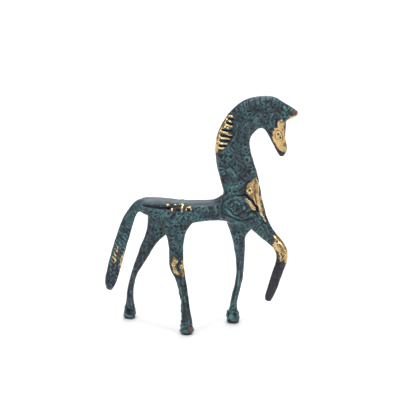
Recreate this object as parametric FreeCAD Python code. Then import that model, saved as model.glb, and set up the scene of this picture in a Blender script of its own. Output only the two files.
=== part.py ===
"""Bronze horse statuette, standing on three hooves with the right foreleg raised.

Eight castings meet at flat seams. Each seam has a round tenon in a socket, held by cross pins
that are peened flush. Millimetres; +X towards the head, +Z up, the horse's left side at +Y.
"""
import FreeCAD
import Part

import math
import os
from types import SimpleNamespace

# Driving dimensions.
overall_length = 114.0       # tail to the tip of the forelock
overall_height = 140.0       # hooves to the crest of the neck
hind_stance = 28.5           # between the middles of the hind hooves, across the horse
barrel_width = 16.0          # across the back

tenon_radius = 2.0           # the legs' tenons
tenon_length = 7.0
neck_tenon_radius = 3.8      # the forehand's tenon, in the end of the barrel
neck_tenon_length = 12.0
thin_tenon_radius = 1.45     # the tail's and the knee's tenons
thin_tenon_length = 5.5
tenon_clearance = 0.1        # around each tenon
tenon_end_gap = 0.25         # beyond the end of each tenon

pin_radius = 0.8             # cross pins through the body
thin_pin_radius = 0.6        # cross pins through the tail's and the knee's tenons
pin_clearance = 0.02         # around each pin
pin_reach = 2.2              # of a leg's pin past the middle of its tenon
pin_depth_share = 0.55       # of a tenon's length, from its seam to its pin
neck_pin_depths = (3.6, 8.0)  # from the neck's seam to its two pins
neck_pin_share = 0.4         # of the neck tenon's radius, that the two pins stand off its axis

hoof_pad_width = 6.2         # flat underside of each hoof that stands
knee_step = 0.96             # size of the lower foreleg against the knee that it enters

# The outlines below were drawn for these overall sizes, and stretch with them.
drawn_length = 114.0
drawn_height = 140.0
drawn_stance = 28.5
drawn_width = 16.0

ring_points = 16
big = 400.0                  # larger than the whole object


def place(x, y, z):
    """A point of the drawing at the size that is asked for."""
    return FreeCAD.Vector(x * overall_length / drawn_length, y, z * overall_height / drawn_height)


def leg_y(y):
    """Distance from the middle plane of a leg that spreads to the stance."""
    return y * hind_stance / drawn_stance


def body_y(y):
    """Distance from the middle plane, or a thickness, of the body."""
    return y * barrel_width / drawn_width


def ring(back, front, y, half_thickness, squareness):
    """Points of a section between two edge points, rounded across the horse (superellipse)."""
    start = place(back[0], y, back[1])
    end = place(front[0], y, front[1])
    middle = (start + end) * 0.5
    along = (end - start) * 0.5
    across = FreeCAD.Vector(0, half_thickness, 0)
    points = []
    for index in range(ring_points):
        turn = 2 * math.pi * index / ring_points
        c = math.cos(turn)
        s = math.sin(turn)
        points.append(middle
                      + along * math.copysign(abs(c) ** (2 / squareness), c)
                      + across * math.copysign(abs(s) ** (2 / squareness), s))
    return points


def spline(points, parameters, closed):
    """Spline through points at the given parameters."""
    curve = Part.BSplineCurve()
    curve.interpolate(Points=points, PeriodicFlag=closed, Parameters=parameters)
    return curve


def loft(stations, squareness=2.3):
    """Solid through sections, each given as back edge, front edge, y and half thickness.

    Splines round the sections give rows of control points. Splines along those rows give the
    control net of one closed surface, and flat caps shut its two ends.
    """
    rings = [ring(back, front, y, thick, squareness) for back, front, y, thick in stations]
    around = [index / ring_points for index in range(ring_points + 1)]
    ring_curves = [spline(points, around, True) for points in rings]
    middles = [sum(points, FreeCAD.Vector()) * (1 / ring_points) for points in rings]
    along = [0.0]
    for previous, current in zip(middles, middles[1:]):
        along.append(along[-1] + math.sqrt((current - previous).Length))
    ring_poles = [curve.getPoles() for curve in ring_curves]
    rows = [spline(list(column), along, False) for column in zip(*ring_poles)]
    surface = Part.BSplineSurface()
    surface.buildFromPolesMultsKnots(
        [list(net_row) for net_row in zip(*[row.getPoles() for row in rows])],
        rows[0].getMultiplicities(), ring_curves[0].getMultiplicities(),
        rows[0].getKnots(), ring_curves[0].getKnots(),
        False, True, rows[0].Degree, ring_curves[0].Degree)
    faces = [surface.toShape()]
    for curve in (ring_curves[0], ring_curves[-1]):
        faces.append(Part.Face(Part.Wire(curve.toShape())))
    shell = Part.makeShell(faces)
    shell.sewShape()
    solid = Part.makeSolid(Part.Shell(shell.Faces))
    if solid.Volume < 0:
        solid.reverse()
    return solid


def seam(back, front, y):
    """Flat seam across a limb, its direction pointing away from the body into the limb."""
    start = place(back[0], y, back[1])
    end = place(front[0], y, front[1])
    run = (end - start).normalize()
    return SimpleNamespace(centre=(start + end) * 0.5,
                           direction=FreeCAD.Vector(run.z, 0, -run.x))


def side_of(point, direction):
    """Block that fills the side of a plane that the direction points to."""
    block = Part.makeBox(big, big, big, FreeCAD.Vector(-big / 2, -big / 2, 0))
    turn = FreeCAD.Rotation(FreeCAD.Vector(0, 0, 1), direction)
    block.Placement = FreeCAD.Placement(point, turn)
    return block


def split(limb, joint):
    """The root that stays on the body, and the limb beyond the seam."""
    root = limb.common(side_of(joint.centre, joint.direction * -1))
    outer = limb.common(side_of(joint.centre, joint.direction))
    return root, outer


def tenon(joint, radius, length):
    """Round tenon from just inside the limb to its end in the body."""
    overlap = radius
    start = joint.centre + joint.direction * overlap
    return Part.makeCylinder(radius, length + overlap, start, joint.direction * -1)


def socket(joint, radius, length):
    """Hole for a tenon, with its clearance."""
    return Part.makeCylinder(radius + tenon_clearance, length + tenon_end_gap,
                             joint.centre, joint.direction * -1)


def cross_pin(point, radius, start_y, end_y, casting):
    """Pin across the horse, its ends following the casting, and the hole for it."""
    across = FreeCAD.Vector(0, 1, 0)
    start = FreeCAD.Vector(point.x, start_y, point.z)
    pin = Part.makeCylinder(radius, end_y - start_y, start, across).common(casting)
    hole = Part.makeCylinder(radius + pin_clearance, end_y - start_y, start, across)
    return pin, hole


def on_tenon(joint, depth):
    """Point on a tenon's axis, this far inside the body."""
    return joint.centre - joint.direction * depth


def one_solid(shape):
    """The single solid of a shape, with a message if there are more."""
    solids = shape.Solids
    if len(solids) != 1:
        print("warning:", len(solids), "solids", [round(s.Volume, 2) for s in solids])
    return max(solids, key=lambda item: item.Volume)


# Outlines. Each station has the back edge, the front edge, the distance from the middle plane
# and half the thickness across the horse.

# Barrel, from the rump to inside the shoulder.
barrel_outline = [
    ((-36.9, 72.4), (-36.9, 76.4), body_y(0), body_y(3.4)),
    ((-34.5, 70.4), (-34.5, 78.0), body_y(0), body_y(6.4)),
    ((-30.0, 68.4), (-30.0, 78.6), body_y(0), body_y(7.8)),
    ((-24.0, 66.2), (-24.0, 78.4), body_y(0), body_y(8.3)),
    ((-15.0, 64.6), (-15.0, 77.5), body_y(0), body_y(8.2)),
    ((-6.0, 64.2), (-6.0, 77.0), body_y(0), body_y(7.8)),
    ((3.0, 65.4), (3.0, 77.1), body_y(0), body_y(7.6)),
    ((8.6, 65.7), (8.6, 77.8), body_y(0), body_y(7.6)),
    ((12.8, 65.5), (12.8, 80.4), body_y(0), body_y(7.6)),
    ((21.0, 64.6), (21.0, 83.0), body_y(0), body_y(7.4)),
]

# Shoulder, neck and head: up the neck, over the crest and down to the muzzle.
forehand_outline = [
    ((17.0, 63.2), (33.6, 61.0), body_y(0), body_y(3.6)),
    ((15.2, 65.4), (36.9, 64.4), body_y(0), body_y(6.2)),
    ((14.6, 71.0), (38.2, 69.4), body_y(0), body_y(7.5)),
    ((14.2, 77.5), (36.5, 76.0), body_y(0), body_y(7.4)),
    ((12.7, 85.2), (34.8, 85.0), body_y(0), body_y(6.7)),
    ((10.0, 95.4), (32.3, 96.2), body_y(0), body_y(6.1)),
    ((8.4, 106.0), (29.2, 106.4), body_y(0), body_y(5.7)),
    ((9.0, 115.6), (28.6, 114.2), body_y(0), body_y(5.5)),
    ((13.6, 126.2), (31.0, 118.6), body_y(0), body_y(5.4)),
    ((22.4, 135.8), (33.2, 120.7), body_y(0), body_y(5.3)),
    ((33.4, 139.9), (35.0, 121.3), body_y(0), body_y(5.2)),
    ((43.8, 138.8), (37.2, 119.8), body_y(0), body_y(5.0)),
    ((49.0, 132.0), (38.8, 117.4), body_y(0), body_y(4.7)),
    ((49.2, 121.6), (40.3, 114.6), body_y(0), body_y(4.3)),
    ((49.4, 113.0), (42.5, 110.2), body_y(0), body_y(3.6)),
    ((50.1, 108.2), (44.3, 106.6), body_y(0), body_y(3.2)),
    ((48.2, 104.3), (45.8, 104.0), body_y(0), body_y(1.6)),
]

# Forelock, a blunt tuft that points forward from between the ears.
forelock_outline = [
    ((41.0, 127.6), (42.4, 138.0), body_y(0), body_y(3.6)),
    ((45.6, 127.0), (46.8, 136.9), body_y(0), body_y(3.4)),
    ((49.8, 125.8), (50.4, 134.6), body_y(0), body_y(2.9)),
    ((53.4, 127.0), (54.0, 132.4), body_y(0), body_y(2.2)),
    ((55.8, 128.6), (56.3, 130.6), body_y(0), body_y(1.0)),
]

# Tail, from inside the rump to its tip.
tail_outline = [
    ((-31.0, 77.6), (-29.5, 72.4), body_y(0), body_y(3.6)),
    ((-35.6, 78.2), (-33.0, 72.2), body_y(0), body_y(3.4)),
    ((-40.2, 75.0), (-36.6, 70.3), body_y(0), body_y(3.1)),
    ((-45.1, 67.8), (-39.0, 65.4), body_y(0), body_y(2.8)),
    ((-49.6, 56.4), (-42.1, 54.4), body_y(0), body_y(2.6)),
    ((-53.6, 43.2), (-45.7, 41.8), body_y(0), body_y(2.5)),
    ((-56.0, 33.2), (-48.4, 31.8), body_y(0), body_y(2.4)),
    ((-57.0, 26.2), (-51.0, 24.4), body_y(0), body_y(2.0)),
    ((-56.2, 22.2), (-53.2, 21.2), body_y(0), body_y(1.0)),
]

# The right hind leg, from inside the haunch to the hoof.
right_hind_outline = [
    ((-27.6, 71.0), (-4.0, 71.0), leg_y(-3.6), 4.2),
    ((-26.0, 65.0), (-4.4, 65.4), leg_y(-4.0), 4.4),
    ((-22.0, 60.2), (-7.7, 60.8), leg_y(-4.5), 4.2),
    ((-19.9, 56.0), (-9.5, 56.0), leg_y(-5.1), 3.9),
    ((-18.8, 50.0), (-10.1, 50.0), leg_y(-6.2), 3.6),
    ((-18.8, 43.0), (-10.2, 43.0), leg_y(-7.6), 3.4),
    ((-18.0, 37.8), (-9.7, 38.4), leg_y(-8.7), 3.2),
    ((-15.2, 32.2), (-8.9, 33.4), leg_y(-9.9), 2.8),
    ((-13.5, 26.6), (-8.0, 27.4), leg_y(-11.1), 2.5),
    ((-12.2, 21.4), (-7.2, 22.0), leg_y(-12.2), 2.3),
    ((-11.6, 15.6), (-6.5, 16.0), leg_y(-13.4), 2.4),
    ((-11.4, 9.6), (-5.5, 9.6), leg_y(-14.8), 2.8),
]

# The left hind leg. Its seam slopes down towards the front.
left_hind_outline = [
    ((-29.6, 73.6), (-12.0, 69.0), leg_y(3.6), 4.2),
    ((-31.2, 67.4), (-15.6, 61.6), leg_y(3.9), 4.3),
    ((-31.8, 60.0), (-20.4, 55.2), leg_y(4.3), 4.0),
    ((-33.4, 53.8), (-24.6, 51.4), leg_y(4.7), 3.7),
    ((-36.4, 46.0), (-29.2, 44.4), leg_y(5.6), 3.3),
    ((-39.0, 38.2), (-33.3, 37.2), leg_y(6.6), 2.9),
    ((-41.4, 30.8), (-37.2, 30.6), leg_y(7.7), 2.5),
    ((-43.1, 24.0), (-39.4, 24.0), leg_y(8.9), 2.3),
    ((-44.4, 17.6), (-40.3, 17.6), leg_y(10.1), 2.4),
    ((-45.1, 11.2), (-40.2, 11.2), leg_y(11.4), 2.7),
]

# The left foreleg, straight down from the chest.
left_fore_outline = [
    ((15.6, 67.6), (32.6, 66.0), leg_y(2.4), 4.2),
    ((15.4, 62.6), (30.8, 60.0), leg_y(2.5), 4.0),
    ((17.6, 56.4), (27.0, 55.6), leg_y(2.6), 3.7),
    ((19.1, 50.0), (26.3, 50.0), leg_y(2.8), 3.3),
    ((20.3, 43.0), (26.1, 43.0), leg_y(3.0), 3.0),
    ((21.0, 36.0), (25.7, 36.0), leg_y(3.3), 2.6),
    ((20.9, 29.4), (25.2, 29.0), leg_y(3.5), 2.4),
    ((19.7, 22.6), (23.8, 22.0), leg_y(3.7), 2.3),
    ((18.0, 15.4), (22.3, 15.0), leg_y(3.8), 2.4),
    ((17.0, 9.6), (21.8, 9.6), leg_y(3.9), 2.7),
]

# The right foreleg: the raised upper leg with its knee, then the lower leg hanging from it.
right_upper_outline = [
    ((24.0, 66.0), (35.6, 73.6), leg_y(-3.2), 3.8),
    ((28.6, 61.8), (38.6, 68.6), leg_y(-3.6), 3.8),
    ((34.4, 56.6), (42.0, 61.6), leg_y(-4.4), 3.7),
    ((39.6, 52.4), (46.6, 55.6), leg_y(-5.2), 3.5),
    ((43.0, 49.0), (50.2, 50.4), leg_y(-6.0), 3.3),
    ((44.3, 44.6), (51.2, 44.2), leg_y(-6.6), 3.1),
    ((43.1, 38.7), (49.2, 37.5), leg_y(-7.2), 2.7),
]
right_lower_outline = [
    ((42.8, 38.7), (49.2, 37.5), leg_y(-7.2), 2.7),
    ((41.4, 33.8), (47.6, 32.4), leg_y(-7.5), 2.6),
    ((39.9, 28.8), (45.8, 27.2), leg_y(-7.8), 2.5),
    ((38.6, 24.2), (44.0, 22.4), leg_y(-8.0), 2.4),
    ((37.6, 20.8), (42.6, 19.4), leg_y(-8.2), 2.3),
    ((38.0, 18.2), (41.2, 17.4), leg_y(-8.3), 1.5),
]


def hoof(middle_x, y, half_length):
    """Stations of a rounded hoof with a flat underside at the ground."""
    pad = hoof_pad_width / 2
    bulge = half_length
    return [
        ((middle_x - bulge * 0.86, 6.4), (middle_x + bulge * 0.86, 6.4), y, bulge * 0.84),
        ((middle_x - bulge, 4.0), (middle_x + bulge, 4.0), y, bulge),
        ((middle_x - bulge, 2.0), (middle_x + bulge, 2.0), y, bulge),
        ((middle_x - pad, 0.0), (middle_x + pad, 0.0), y, pad),
    ]


def narrowed(outline, factor):
    """The same outline with every section smaller by this factor about its own middle."""
    stations = []
    for back, front, y, thick in outline:
        middle = ((back[0] + front[0]) / 2, (back[1] + front[1]) / 2)
        ends = [(middle[0] + (end[0] - middle[0]) * factor,
                 middle[1] + (end[1] - middle[1]) * factor) for end in (back, front)]
        stations.append((ends[0], ends[1], y, thick * factor))
    return stations


right_hind_outline += hoof(-8.3, leg_y(-16.0), 3.8)
left_hind_outline += hoof(-42.9, leg_y(12.5), 3.75)
left_fore_outline += hoof(19.3, leg_y(4.0), 3.8)

# Seams.
neck_seam = seam((14.0, 64.2), (12.0, 77.6), body_y(0))
tail_seam = seam((-40.8, 75.6), (-36.8, 69.0), body_y(0))
right_hind_seam = seam((-19.9, 55.5), (-9.5, 55.5), leg_y(-5.2))
left_hind_seam = seam((-32.0, 64.8), (-20.2, 56.6), leg_y(4.1))
left_fore_seam = seam((16.4, 59.2), (28.6, 58.4), leg_y(2.5))
right_fore_seam = seam((31.2, 59.2), (40.2, 65.2), leg_y(-4.0))
knee_seam = seam((43.1, 38.7), (49.2, 37.5), leg_y(-7.2))

# Whole limbs, before they are parted at their seams.
barrel_body = loft(barrel_outline, 2.8)
neck_body = loft(forehand_outline, 2.5)
forelock_body = loft(forelock_outline)
tail_root, tail_body = split(loft(tail_outline), tail_seam)
right_hind_root, right_hind_body = split(loft(right_hind_outline), right_hind_seam)
left_hind_root, left_hind_body = split(loft(left_hind_outline), left_hind_seam)
left_fore_root, left_fore_body = split(loft(left_fore_outline), left_fore_seam)
right_fore_root, right_upper_body = split(loft(right_upper_outline), right_fore_seam)
right_lower_body = loft(narrowed(right_lower_outline, knee_step))

# The barrel ends at the neck's seam, and the forehand starts there.
barrel_end = barrel_body.common(side_of(neck_seam.centre, neck_seam.direction))
barrel_rear = barrel_body.common(side_of(neck_seam.centre, neck_seam.direction * -1))
barrel_whole = barrel_rear.fuse([tail_root, right_hind_root, left_hind_root])
barrel_whole = barrel_whole.cut([tail_body, right_hind_body, left_hind_body])
forehand_whole = neck_body.fuse([barrel_end, forelock_body, left_fore_root, right_fore_root])
forehand_whole = forehand_whole.cut([left_fore_body, right_upper_body])

# Tenons belong to the pieces that plug in.
forehand = forehand_whole.fuse(tenon(neck_seam, neck_tenon_radius, neck_tenon_length))
tail = tail_body.fuse(tenon(tail_seam, thin_tenon_radius, thin_tenon_length))
right_hind_leg = right_hind_body.fuse(tenon(right_hind_seam, tenon_radius, tenon_length))
left_hind_leg = left_hind_body.fuse(tenon(left_hind_seam, tenon_radius, tenon_length))
left_foreleg = left_fore_body.fuse(tenon(left_fore_seam, tenon_radius, tenon_length))
right_foreleg_upper = right_upper_body.fuse(tenon(right_fore_seam, tenon_radius, tenon_length))
right_foreleg_lower = right_lower_body.fuse(tenon(knee_seam, thin_tenon_radius, thin_tenon_length))

# Sockets are cut in the pieces that receive them.
barrel = barrel_whole.cut(socket(neck_seam, neck_tenon_radius, neck_tenon_length))
barrel = barrel.cut(socket(tail_seam, thin_tenon_radius, thin_tenon_length))
barrel = barrel.cut(socket(right_hind_seam, tenon_radius, tenon_length))
barrel = barrel.cut(socket(left_hind_seam, tenon_radius, tenon_length))
forehand = forehand.cut(socket(left_fore_seam, tenon_radius, tenon_length))
forehand = forehand.cut(socket(right_fore_seam, tenon_radius, tenon_length))
right_foreleg_upper = right_foreleg_upper.cut(socket(knee_seam, thin_tenon_radius,
                                                     thin_tenon_length))

# Cross pins. A pin ends where the casting does, and the legs' pins are blind at their inner end.
outside = big / 4
pins = {}

offset = FreeCAD.Vector(0, 0, neck_tenon_radius * neck_pin_share)
neck_spots = {"neck_pin_upper": on_tenon(neck_seam, neck_pin_depths[0]) + offset,
              "neck_pin_lower": on_tenon(neck_seam, neck_pin_depths[1]) - offset}
for name, spot in neck_spots.items():
    pins[name], hole = cross_pin(spot, pin_radius, -outside, outside, barrel_whole)
    barrel = barrel.cut(hole)
    forehand = forehand.cut(hole)

tail_spot = on_tenon(tail_seam, thin_tenon_length * pin_depth_share)
pins["tail_pin"], hole = cross_pin(tail_spot, thin_pin_radius, -outside, outside, barrel_whole)
barrel = barrel.cut(hole)
tail = tail.cut(hole)

spot = on_tenon(right_hind_seam, tenon_length * pin_depth_share)
pins["right_hind_pin"], hole = cross_pin(spot, pin_radius, -outside, spot.y + pin_reach,
                                         barrel_whole)
barrel = barrel.cut(hole)
right_hind_leg = right_hind_leg.cut(hole)

spot = on_tenon(left_hind_seam, tenon_length * pin_depth_share)
pins["left_hind_pin"], hole = cross_pin(spot, pin_radius, spot.y - pin_reach, outside,
                                        barrel_whole)
barrel = barrel.cut(hole)
left_hind_leg = left_hind_leg.cut(hole)

spot = on_tenon(left_fore_seam, tenon_length * pin_depth_share)
pins["left_fore_pin"], hole = cross_pin(spot, pin_radius, spot.y - pin_reach, outside,
                                        forehand_whole)
forehand = forehand.cut(hole)
left_foreleg = left_foreleg.cut(hole)

spot = on_tenon(right_fore_seam, tenon_length * pin_depth_share)
pins["right_fore_pin"], hole = cross_pin(spot, pin_radius, -outside, spot.y + pin_reach,
                                         forehand_whole)
forehand = forehand.cut(hole)
right_foreleg_upper = right_foreleg_upper.cut(hole)

knee_spot = on_tenon(knee_seam, thin_tenon_length * pin_depth_share)
pins["knee_pin"], hole = cross_pin(knee_spot, thin_pin_radius, -outside, outside,
                                   right_upper_body)
right_foreleg_upper = right_foreleg_upper.cut(hole)
right_foreleg_lower = right_foreleg_lower.cut(hole)

nodes = {
    "barrel": barrel,
    "forehand": forehand,
    "tail": tail,
    "left_hind_leg": left_hind_leg,
    "right_hind_leg": right_hind_leg,
    "left_foreleg": left_foreleg,
    "right_foreleg_upper": right_foreleg_upper,
    "right_foreleg_lower": right_foreleg_lower,
}
nodes.update(pins)

# The frame's origin lies on the ground, under the middle of the whole statuette.
def outer_box(shape):
    """Close bounding box of a shape."""
    return shape.optimalBoundingBox(False, False)


whole_box = outer_box(next(iter(nodes.values())))
for shape in nodes.values():
    whole_box.add(outer_box(shape))
to_origin = FreeCAD.Vector(-whole_box.Center.x, -whole_box.Center.y, -whole_box.ZMin)
print(f"moved by {to_origin.x:.2f}, {to_origin.y:.2f}, {to_origin.z:.2f}")

os.makedirs("parts", exist_ok=True)
for name, shape in nodes.items():
    solid = one_solid(shape).translated(to_origin)
    solid.exportStep("parts/" + name + ".step")
    box = outer_box(solid)
    print(f"{name:22s} {solid.Volume:9.1f} mm3  valid {solid.isValid()}  "
          f"x {box.XMin:.1f}..{box.XMax:.1f}  y {box.YMin:.1f}..{box.YMax:.1f}  "
          f"z {box.ZMin:.1f}..{box.ZMax:.1f}")
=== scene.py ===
import math

import bmesh
import bpy
import numpy as np
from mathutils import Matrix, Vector


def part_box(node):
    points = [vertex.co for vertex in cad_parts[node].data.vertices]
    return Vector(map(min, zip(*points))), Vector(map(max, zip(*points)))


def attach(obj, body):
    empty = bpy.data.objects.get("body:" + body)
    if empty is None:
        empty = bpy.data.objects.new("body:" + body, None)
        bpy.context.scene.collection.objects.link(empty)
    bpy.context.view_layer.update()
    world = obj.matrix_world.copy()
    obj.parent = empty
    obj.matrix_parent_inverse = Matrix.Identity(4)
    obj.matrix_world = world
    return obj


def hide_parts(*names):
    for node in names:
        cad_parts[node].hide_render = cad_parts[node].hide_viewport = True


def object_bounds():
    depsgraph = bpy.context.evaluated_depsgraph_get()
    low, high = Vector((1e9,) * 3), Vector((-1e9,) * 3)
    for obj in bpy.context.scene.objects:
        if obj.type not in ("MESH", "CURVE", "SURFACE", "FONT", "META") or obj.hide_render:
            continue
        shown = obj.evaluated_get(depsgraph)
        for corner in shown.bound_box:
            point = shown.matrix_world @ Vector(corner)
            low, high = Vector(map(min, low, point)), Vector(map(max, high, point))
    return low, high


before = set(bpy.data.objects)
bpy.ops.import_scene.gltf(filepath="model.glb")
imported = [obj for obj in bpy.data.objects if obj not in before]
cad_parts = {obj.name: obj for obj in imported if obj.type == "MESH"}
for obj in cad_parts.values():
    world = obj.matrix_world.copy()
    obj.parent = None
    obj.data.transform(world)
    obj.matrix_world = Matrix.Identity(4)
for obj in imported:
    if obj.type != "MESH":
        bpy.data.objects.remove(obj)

cadLow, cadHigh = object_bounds()
print("frame loaded")

millimetre = 0.001

# Every outline row is: back edge x, z, front edge x, z, middle y, half thickness, all in mm.
hoofSizes = {"pad": 3.1, "top": 6.4, "topLength": 0.86, "topThickness": 0.84, "middle": 4.0, "low": 2.0}


def hoofRows(middleX, y, half):
    # four flat sections: a narrower top, two at full size and the pad on the ground
    rows = []
    sections = ((hoofSizes["top"], half * hoofSizes["topLength"], half * hoofSizes["topThickness"]),
                (hoofSizes["middle"], half, half), (hoofSizes["low"], half, half),
                (0.0, hoofSizes["pad"], hoofSizes["pad"]))
    for height, length, thick in sections:
        rows.append((middleX - length, height, middleX + length, height, y, thick))
    return rows


horse = {
    "barrel": {"squareness": 2.8, "rows": [
        (-36.9, 72.4, -36.9, 76.4, 0, 3.4), (-34.5, 70.4, -34.5, 78.0, 0, 6.4),
        (-30.0, 68.4, -30.0, 78.6, 0, 7.8), (-24.0, 66.2, -24.0, 78.4, 0, 8.3),
        (-15.0, 64.6, -15.0, 77.5, 0, 8.2), (-6.0, 64.2, -6.0, 77.0, 0, 7.8),
        (3.0, 65.4, 3.0, 77.1, 0, 7.6), (8.6, 65.7, 8.6, 77.8, 0, 7.6),
        (12.8, 65.5, 12.8, 80.4, 0, 7.6), (21.0, 64.6, 21.0, 83.0, 0, 7.4)]},
    "forehand": {"squareness": 2.5, "rows": [
        (17.0, 63.2, 33.6, 61.0, 0, 3.6), (15.2, 65.4, 36.9, 64.4, 0, 6.2),
        (14.6, 71.0, 38.2, 69.4, 0, 7.5), (14.2, 77.5, 36.5, 76.0, 0, 7.4),
        (12.7, 85.2, 34.8, 85.0, 0, 6.7), (10.0, 95.4, 32.3, 96.2, 0, 6.1),
        (8.4, 106.0, 29.2, 106.4, 0, 5.7), (9.0, 115.6, 28.6, 114.2, 0, 5.5),
        (13.6, 126.2, 31.0, 118.6, 0, 5.4), (22.4, 135.8, 33.2, 120.7, 0, 5.3),
        (33.4, 139.9, 35.0, 121.3, 0, 5.2), (43.8, 138.8, 37.2, 119.8, 0, 5.0),
        (49.0, 132.0, 38.8, 117.4, 0, 4.7), (49.2, 121.6, 40.3, 114.6, 0, 4.3),
        (49.4, 113.0, 42.5, 110.2, 0, 3.6), (50.1, 108.2, 44.3, 106.6, 0, 3.2),
        (48.2, 104.3, 45.8, 104.0, 0, 1.6)]},
    "forelock": {"squareness": 2.3, "rows": [
        (41.0, 127.6, 42.4, 138.0, 0, 3.6), (45.6, 127.0, 46.8, 136.9, 0, 3.4),
        (49.8, 125.8, 50.4, 134.6, 0, 2.9), (53.4, 127.0, 54.0, 132.4, 0, 2.2),
        (55.8, 128.6, 56.3, 130.6, 0, 1.0)]},
    "tail": {"squareness": 2.3, "rows": [
        (-31.0, 77.6, -29.5, 72.4, 0, 3.6), (-35.6, 78.2, -33.0, 72.2, 0, 3.4),
        (-40.2, 75.0, -36.6, 70.3, 0, 3.1), (-45.1, 67.8, -39.0, 65.4, 0, 2.8),
        (-49.6, 56.4, -42.1, 54.4, 0, 2.6), (-53.6, 43.2, -45.7, 41.8, 0, 2.5),
        (-56.0, 33.2, -48.4, 31.8, 0, 2.4), (-57.0, 26.2, -51.0, 24.4, 0, 2.0),
        (-56.2, 22.2, -53.2, 21.2, 0, 1.0)]},
    "rightHindLeg": {"squareness": 2.3, "rows": [
        (-27.6, 71.0, -4.0, 71.0, -3.6, 4.2), (-26.0, 65.0, -4.4, 65.4, -4.0, 4.4),
        (-22.0, 60.2, -7.7, 60.8, -4.5, 4.2), (-19.9, 56.0, -9.5, 56.0, -5.1, 3.9),
        (-18.8, 50.0, -10.1, 50.0, -6.2, 3.6), (-18.8, 43.0, -10.2, 43.0, -7.6, 3.4),
        (-18.0, 37.8, -9.7, 38.4, -8.7, 3.2), (-15.2, 32.2, -8.9, 33.4, -9.9, 2.8),
        (-13.5, 26.6, -8.0, 27.4, -11.1, 2.5), (-12.2, 21.4, -7.2, 22.0, -12.2, 2.3),
        (-11.6, 15.6, -6.5, 16.0, -13.4, 2.4), (-11.4, 9.6, -5.5, 9.6, -14.8, 2.8),
        *hoofRows(-8.3, -16.0, 3.8)]},
    "leftHindLeg": {"squareness": 2.3, "rows": [
        (-29.6, 73.6, -12.0, 69.0, 3.6, 4.2), (-31.2, 67.4, -15.6, 61.6, 3.9, 4.3),
        (-31.8, 60.0, -20.4, 55.2, 4.3, 4.0), (-33.4, 53.8, -24.6, 51.4, 4.7, 3.7),
        (-36.4, 46.0, -29.2, 44.4, 5.6, 3.3), (-39.0, 38.2, -33.3, 37.2, 6.6, 2.9),
        (-41.4, 30.8, -37.2, 30.6, 7.7, 2.5), (-43.1, 24.0, -39.4, 24.0, 8.9, 2.3),
        (-44.4, 17.6, -40.3, 17.6, 10.1, 2.4), (-45.1, 11.2, -40.2, 11.2, 11.4, 2.7),
        *hoofRows(-42.9, 12.5, 3.75)]},
    "leftForeleg": {"squareness": 2.3, "rows": [
        (15.6, 67.6, 32.6, 66.0, 2.4, 4.2), (15.4, 62.6, 30.8, 60.0, 2.5, 4.0),
        (17.6, 56.4, 27.0, 55.6, 2.6, 3.7), (19.1, 50.0, 26.3, 50.0, 2.8, 3.3),
        (20.3, 43.0, 26.1, 43.0, 3.0, 3.0), (21.0, 36.0, 25.7, 36.0, 3.3, 2.6),
        (20.9, 29.4, 25.2, 29.0, 3.5, 2.4), (19.7, 22.6, 23.8, 22.0, 3.7, 2.3),
        (18.0, 15.4, 22.3, 15.0, 3.8, 2.4), (17.0, 9.6, 21.8, 9.6, 3.9, 2.7),
        *hoofRows(19.3, 4.0, 3.8)]},
    "rightForelegUpper": {"squareness": 2.3, "rows": [
        (24.0, 66.0, 35.6, 73.6, -3.2, 3.8), (28.6, 61.8, 38.6, 68.6, -3.6, 3.8),
        (34.4, 56.6, 42.0, 61.6, -4.4, 3.7), (39.6, 52.4, 46.6, 55.6, -5.2, 3.5),
        (43.0, 49.0, 50.2, 50.4, -6.0, 3.3), (44.3, 44.6, 51.2, 44.2, -6.6, 3.1),
        (43.1, 38.7, 49.2, 37.5, -7.2, 2.7)]},
    "rightForelegLower": {"squareness": 2.3, "shrink": 0.96, "rows": [
        (42.8, 38.7, 49.2, 37.5, -7.2, 2.7), (41.4, 33.8, 47.6, 32.4, -7.5, 2.6),
        (39.9, 28.8, 45.8, 27.2, -7.8, 2.5), (38.6, 24.2, 44.0, 22.4, -8.0, 2.4),
        (37.6, 20.8, 42.6, 19.4, -8.2, 2.3), (38.0, 18.2, 41.2, 17.4, -8.3, 1.5)]},
}

# Seams between the castings: edge to edge across the limb, middle y, half thickness there,
# and how far the cut may reach past the limb's own section.
seams = {
    "neck": {"edge": ((14.0, 64.2), (12.0, 77.6)), "y": 0, "half": 7.6, "reach": (6.0, 3.0)},
    "tail": {"edge": ((-40.8, 75.6), (-36.8, 69.0)), "y": 0, "half": 3.2, "reach": (1.6, 2.0)},
    "rightHind": {"edge": ((-19.9, 55.5), (-9.5, 55.5)), "y": -5.2, "half": 3.9, "reach": (2.5, 1.6)},
    "leftHind": {"edge": ((-32.0, 64.8), (-20.2, 56.6)), "y": 4.1, "half": 4.2, "reach": (2.0, 1.0)},
    "leftFore": {"edge": ((16.4, 59.2), (28.6, 58.4)), "y": 2.5, "half": 4.0, "reach": (2.0, 2.0)},
    "rightFore": {"edge": ((31.2, 59.2), (40.2, 65.2)), "y": -4.0, "half": 3.8, "reach": (2.4, 2.0)},
    "knee": {"edge": ((43.1, 38.7), (49.2, 37.5)), "y": -7.2, "half": 2.7, "reach": (2.0, 2.0)},
}

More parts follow.
